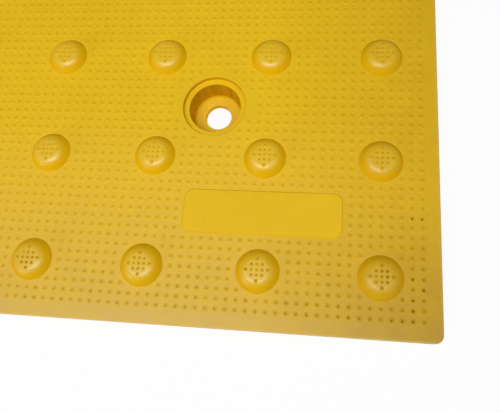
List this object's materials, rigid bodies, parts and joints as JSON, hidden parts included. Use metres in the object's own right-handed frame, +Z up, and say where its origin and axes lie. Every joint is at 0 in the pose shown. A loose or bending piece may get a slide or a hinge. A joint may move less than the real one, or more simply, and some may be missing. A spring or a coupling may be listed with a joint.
{
  "type": "tactile paving tile",
  "caption": "Square moulded tile with truncated domes on a fine-pointed face, stepped bolt pockets near its corners and ribs underneath, set in concrete to warn walkers.",
  "frame": {"origin": "middle of the tile, on the plane of the rib feet that it rests on", "axes": "+Z up through the domes; +X and +Y along the edges, with the name pad near the +X, -Y corner"},
  "size_m": [0.608, 0.608, 0.0235],
  "materials": {
    "yellow_polymer": "satin moulded polymer, yellow right through, a little scuffed and dusty"
  },
  "bodies": {
    "root": {"tactile_tile": "yellow_polymer"}
  },
  "joints": []
}
